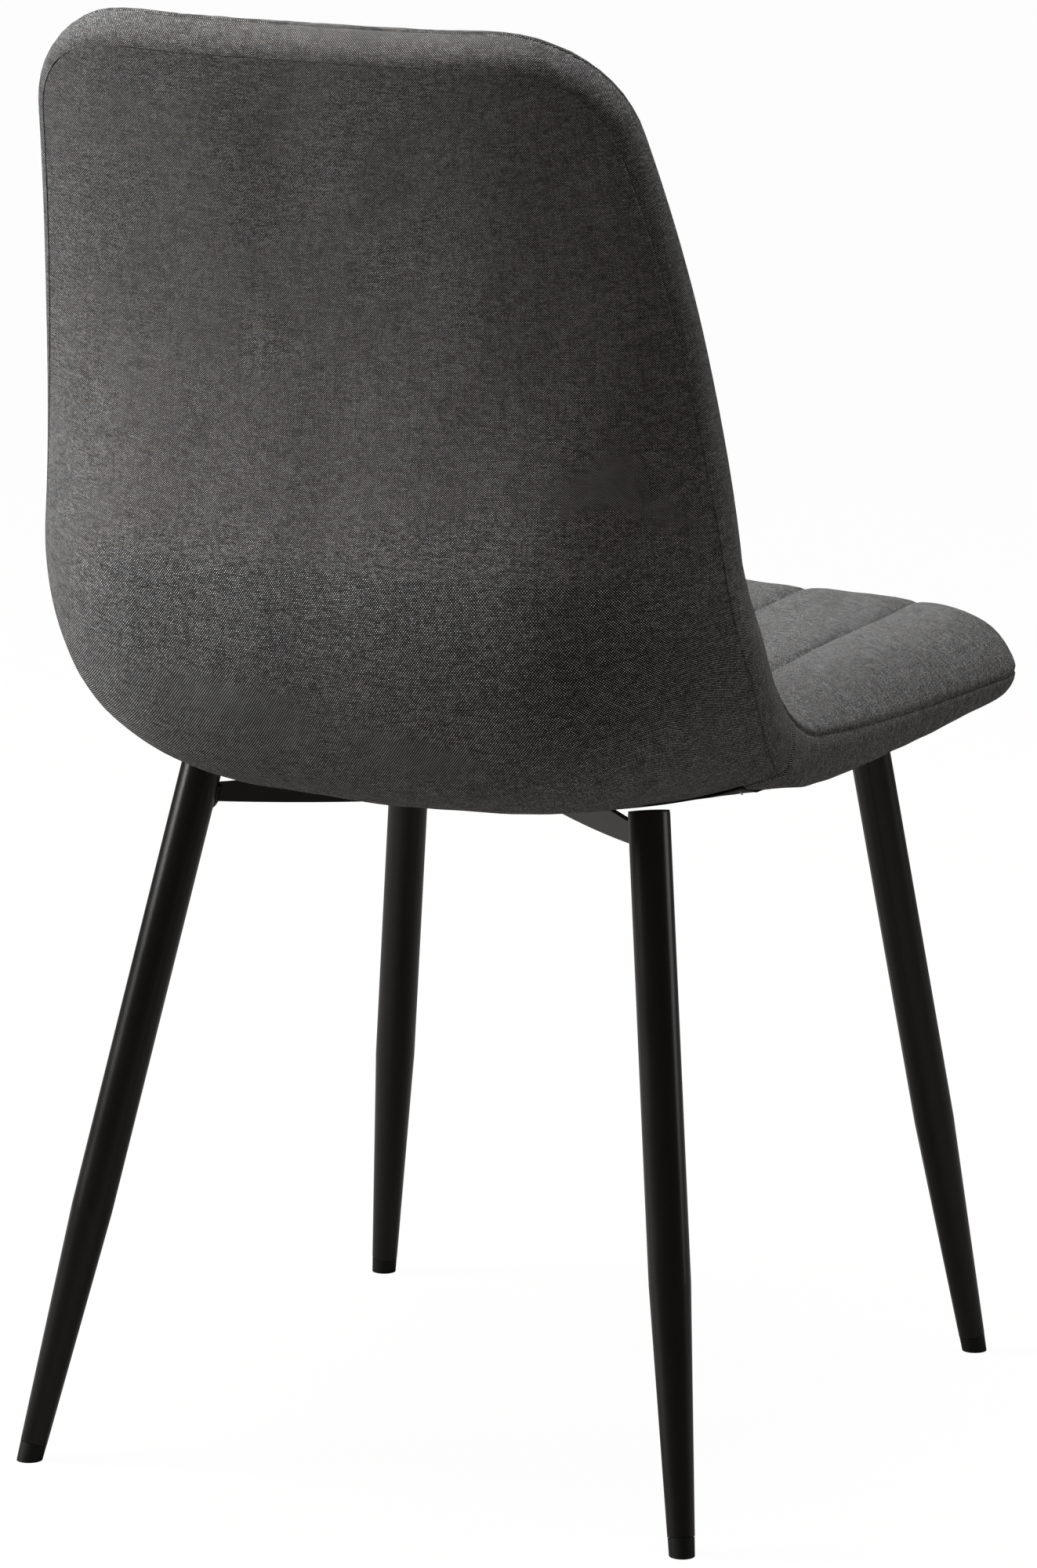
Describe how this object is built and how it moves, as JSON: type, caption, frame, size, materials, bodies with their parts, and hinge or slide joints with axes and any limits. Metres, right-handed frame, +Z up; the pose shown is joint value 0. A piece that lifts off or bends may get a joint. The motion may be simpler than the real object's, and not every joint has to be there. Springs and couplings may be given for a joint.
{
  "type": "dining chair",
  "caption": "Upholstered dining chair: one-piece seat and back shell in charcoal fabric on splayed tapered black steel tube legs with a crossed plate frame.",
  "frame": {"origin": "on the floor under the middle of the chair's bounding box", "axes": "+Z up, the sitter faces -Y and the sitter's left is +X"},
  "size_m": [0.466, 0.6109, 0.8924],
  "materials": {
    "fabric": "woven charcoal melange",
    "foam": "open-cell foam",
    "board": "raw plywood",
    "frame_black": "satin powder coat",
    "glide_plastic": "satin",
    "pad_rubber": "matte",
    "zinc_steel": "zinc plated",
    "dust_cloth": "non-woven"
  },
  "bodies": {
    "root": {"shell_board": "board", "inner_foam": "foam", "outer_foam": "foam", "inner_cover": "fabric", "outer_cover": "fabric", "seat_side_band": "fabric", "dust_cover": "dust_cloth", "dust_cover_staples": "zinc_steel", "cross_plate_a": "frame_black", "cross_plate_b": "frame_black", "mounting_tab_front_left": "frame_black", "mounting_tab_front_right": "frame_black", "mounting_tab_rear_left": "frame_black", "mounting_tab_rear_right": "frame_black", "spacer_pads": "pad_rubber", "mounting_screws": "zinc_steel", "washers": "zinc_steel", "t_nuts": "zinc_steel", "leg_front_left": "frame_black", "leg_front_right": "frame_black", "leg_rear_left": "frame_black", "leg_rear_right": "frame_black", "foot_glide_front_left": "glide_plastic", "foot_glide_front_right": "glide_plastic", "foot_glide_rear_left": "glide_plastic", "foot_glide_rear_right": "glide_plastic", "tube_top_plugs": "glide_plastic"}
  },
  "joints": []
}
